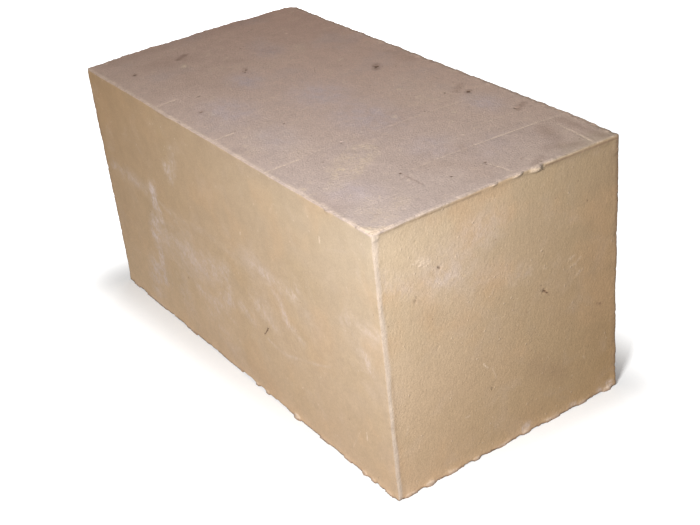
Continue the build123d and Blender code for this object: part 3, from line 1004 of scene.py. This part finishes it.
# Moulded faces: buff, with olive and warmer patches. Struck top: pinkish grey, mottled
def faceColours(tree, level, place, topSide, endSide):
    x, y, z = addNode(tree, "SeparateXYZ", {0: place}).outputs
    length, width, height = earth["toneBox"]
    along = calc(tree, "MULTIPLY_ADD", x, 1 / length, 0.5)
    across = calc(tree, "MULTIPLY_ADD", y, 1 / width, 0.5)
    rise = product(tree, z, 1 / height)
    sides = faceTone(tree, along, rise, earth["sideTones"])
    ends = faceTone(tree, across, rise, earth["endTones"])
    colour = tint(tree, level, blendColours(tree, endSide, sides, ends), "olive")
    warmth = product(tree, level["warm"], byFace(tree, endSide, onEnds["warm"]))
    colour = blendColours(tree, warmth, colour, earth["warm"])
    colour = tint(tree, level, colour, "haze")
    colour = blendColours(tree, fade(tree, z, *earth["footRamp"]), colour, earth["foot"])

    top = faceTone(tree, along, across, earth["topTones"])
    middle = calc(tree, "ABSOLUTE", calc(tree, "SUBTRACT", along, 0.5))
    top = shade(tree, top, fade(tree, middle, *earth["middleRamp"]), earth["middlePaler"], 0, 1)
    for name in ("grey", "brown", "straw"):
        top = tint(tree, level, top, name)
    return blendColours(tree, topSide, colour, top), z


def markColours(tree, level, colour, topSide):
    # Rubbed smears, broken up into fibres and blotches, and stains and painted shade
    broken = product(tree, level["smearFibres"], level["smearBlotches"])
    pale = blendColours(tree, topSide, earth["haze"], earth["straw"])
    colour = blendColours(tree, product(tree, painted(tree, "smear"), broken), colour, pale)
    stainAndShade = product(tree, painted(tree, "stainAndShade"), level["stainAndShade"])
    colour = coat(tree, colour, stainAndShade, "stainAndShade", earth["stainAndShade"])

    # Soft bloom, the pale band beside the uprights, dry cream arrises and scratches
    bloom = product(tree, painted(tree, "bloom"), level["bloom"])
    dust = blendColours(tree, topSide, earth["haze"], earth["bloom"])
    colour = blendColours(tree, bloom, colour, dust)
    colour = coat(tree, colour, painted(tree, "bead"), "bead", earth["bead"])
    for name in ("arris", "scratch"):
        mask = product(tree, painted(tree, name), level[name])
        colour = coat(tree, colour, mask, name, earth["cream"])
    return colour


# Hairlines, grain of every size, crumbs of clay, specks, dust and painted shade at the far arrises, painted
# shade at the foot and on the rounded near arrises, and pits whose dark is partly painted shade
def grainColours(tree, made, level, colour, place, z, topSide, endSide, crumb):
    lines = product(tree, hairlines(tree, place), level["lines"])
    lines = product(tree, lines, byFace(tree, topSide, onTop["lines"]))
    pale = blendColours(tree, level["lineColour"], earth["stainAndShade"], earth["cream"])
    colour = blendColours(tree, lines, colour, pale)
    colour = shade(tree, colour, made["coarse"], byFace(tree, endSide, onEnds["coarse"]))
    colour = shade(tree, colour, made["grain"], byFace(tree, topSide, onTop["grain"]))
    colour = coat(tree, colour, crumb, "crumb", earth["cream"])
    speck = product(tree, scattered(tree, place, *earth["specks"]), level["specks"])
    colour = coat(tree, colour, speck, "speck", earth["stainAndShade"])
    # Dust and painted shade where the far arrises turn away, and a painted shade line along the foot
    dustAndShade = calc(tree, "MAXIMUM", painted(tree, "rim"), fade(tree, z, *earth["footShadeRamp"]))
    colour = blendColours(tree, dustAndShade, colour, earth["stainAndShade"])
    # Painted shade on the rounding of the near arrises
    colour = shade(tree, colour, painted(tree, "turned"), -earth["turnedDarker"], -1, 1)
    # Dark of the pits and straws; in the pits partly dark specks and partly painted shade in the hollows
    pit = fade(tree, painted(tree, "pit"), *earth["pitRamp"])
    return coat(tree, colour, pit, "pit", earth["dark"])


# Relief too fine for the mesh
def fineRelief(tree, made, topSide, endSide, crumb):
    height = product(tree, made["sandy"], byFace(tree, topSide, onTop["sandy"]))
    for name, pattern in (("peel", made["peel"]), ("combed", made["combed"]), ("crumb", crumb)):
        height = calc(tree, "ADD", height, product(tree, pattern, byFace(tree, endSide, onEnds[name])))
    inputs = {"Height": height, "Strength": 1.0, "Distance": earth["bump"]}
    return addNode(tree, "Bump", inputs).outputs["Normal"]


def rawEarth():
    material = bpy.data.materials.new("raw_earth")
    tree = emptyTree(material)
    place = addNode(tree, "TexCoord").outputs["Object"]
    topSide = painted(tree, "topSide")
    endSide = painted(tree, "endSide")
    made, level = makePatterns(tree, place)
    crumb = product(tree, scattered(tree, place, *earth["crumbs"]), level["crumbs"])

    colour, z = faceColours(tree, level, place, topSide, endSide)
    colour = markColours(tree, level, colour, topSide)
    colour = grainColours(tree, made, level, colour, place, z, topSide, endSide, crumb)
    normal = fineRelief(tree, made, topSide, endSide, crumb)
    rough = fade(tree, made["grain"], *earth["roughness"])
    shader = addNode(tree, "BsdfPrincipled", {
        "Base Color": colour, "Roughness": rough, "Normal": normal, "Specular IOR Level": earth["specular"],
    })
    addNode(tree, "OutputMaterial", {"Surface": shader.outputs["BSDF"]})
    return material


# Floor, world, lamps and camera

studio = {
    "floorSize": 8,
    "floorTone": 0.8,
    "bounceTone": 0.35,  # what the floor throws back at the block
    "footprint": (0.15, 0.074, 0),  # half length and half width of the block on the floor
    "shadowGlow": 0.1,  # how much light the floor gives off right beside the block
    "shadowReach": 0.055,  # beyond this the floor is white
    "fill": 0.2,  # light from all round
    "keyPlace": (0.394, -0.404, 0.385),
    "keyPower": 5,
    "keySize": 0.12,
    "aim": (0.02, 0, 0.09),
    "floorDrop": 0.02 * mm,  # below the base, so that the two don't meet
    "backPlaces": ((-0.62, 0.42, 0.13), (0.22, 0.85, 0.14)),
    "backPower": 1.2,
    "backSize": 0.25,
}

camera = {
    "place": (0.56317, -0.33976, 0.41162),
    "right": (0.56575, 0.81889, -0.09666),
    "down": (0.35544, -0.34796, -0.86752),
    "lens": 66.06,
    "sensor": 36,
    "nearest": 0.01,
}


# Whether a ray comes from the camera, straight or by a mirror or glass
def seenStraight(tree):
    path = addNode(tree, "LightPath")
    seen = calc(tree, "MAXIMUM", path.outputs["Is Camera Ray"], path.outputs["Is Glossy Ray"])
    return calc(tree, "MAXIMUM", seen, path.outputs["Is Transmission Ray"])


def vectorMath(tree, operation, first, second=(0, 0, 0), result="Vector"):
    return addNode(tree, "VectorMath", {0: first, 1: second}, operation=operation).outputs[result]


def makeFloor():
    deselectAll()
    bpy.ops.mesh.primitive_plane_add(size=studio["floorSize"], location=(0, 0, -studio["floorDrop"]))
    floor = bpy.context.active_object
    floor.name = "studio_floor"
    material = bpy.data.materials.new("studio_floor")
    tree = emptyTree(material)
    seen = seenStraight(tree)
    tone = fade(tree, seen, 0, 1, studio["bounceTone"], studio["floorTone"])
    diffuse = addNode(tree, "BsdfDiffuse", {"Color": tone})
    place = addNode(tree, "TexCoord").outputs["Object"]
    away = vectorMath(tree, "ABSOLUTE", place)
    away = vectorMath(tree, "MAXIMUM", vectorMath(tree, "SUBTRACT", away, studio["footprint"]))
    far = vectorMath(tree, "LENGTH", away, result="Value")
    glow = product(tree, seen, fade(tree, far, 0.0, studio["shadowReach"], studio["shadowGlow"], 1.0))
    emission = addNode(tree, "Emission", {"Strength": glow})
    both = addNode(tree, "AddShader", {0: diffuse.outputs[0], 1: emission.outputs[0]})
    addNode(tree, "OutputMaterial", {"Surface": both.outputs[0]})
    floor.data.materials.append(material)


def makeWorld():
    world = bpy.data.worlds.new("studio")
    bpy.context.scene.world = world
    tree = emptyTree(world)
    seen = seenStraight(tree)
    strength = fade(tree, seen, 0, 1, studio["fill"], 1.0)
    background = addNode(tree, "Background", {"Color": (1, 1, 1, 1), "Strength": strength})
    addNode(tree, "OutputWorld", {"Surface": background.outputs[0]})


def addLamp(name, place, power, size):
    deselectAll()
    bpy.ops.object.light_add(type="AREA", location=place)
    lamp = bpy.context.active_object
    lamp.name = name
    lamp.data.shape = "DISK"
    lamp.data.size = size
    lamp.data.energy = power
    lamp.rotation_euler = (Vector(place) - Vector(studio["aim"])).to_track_quat("Z", "Y").to_euler()
    lamp.visible_camera = False


def makeCamera():
    deselectAll()
    bpy.ops.object.camera_add()
    made = bpy.context.active_object
    right, up = Vector(camera["right"]), -Vector(camera["down"])
    turn = Matrix((right, up, right.cross(up))).transposed()
    made.matrix_world = Matrix.Translation(camera["place"]) @ turn.to_4x4()
    made.data.sensor_width = camera["sensor"]
    made.data.lens = camera["lens"]
    made.data.clip_start = camera["nearest"]
    bpy.context.scene.camera = made


makeCamera()
brick = makeBrick()
brick.data.materials.append(rawEarth())
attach(brick, "root")
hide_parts("mud_brick")
print("Brick finished")

makeFloor()
makeWorld()
addLamp("key", studio["keyPlace"], studio["keyPower"], studio["keySize"])
for number, place in enumerate(studio["backPlaces"]):
    addLamp(f"back_{number + 1}", place, studio["backPower"], studio["backSize"])
bpy.context.scene.view_settings.view_transform = "Standard"
print("Studio ready")
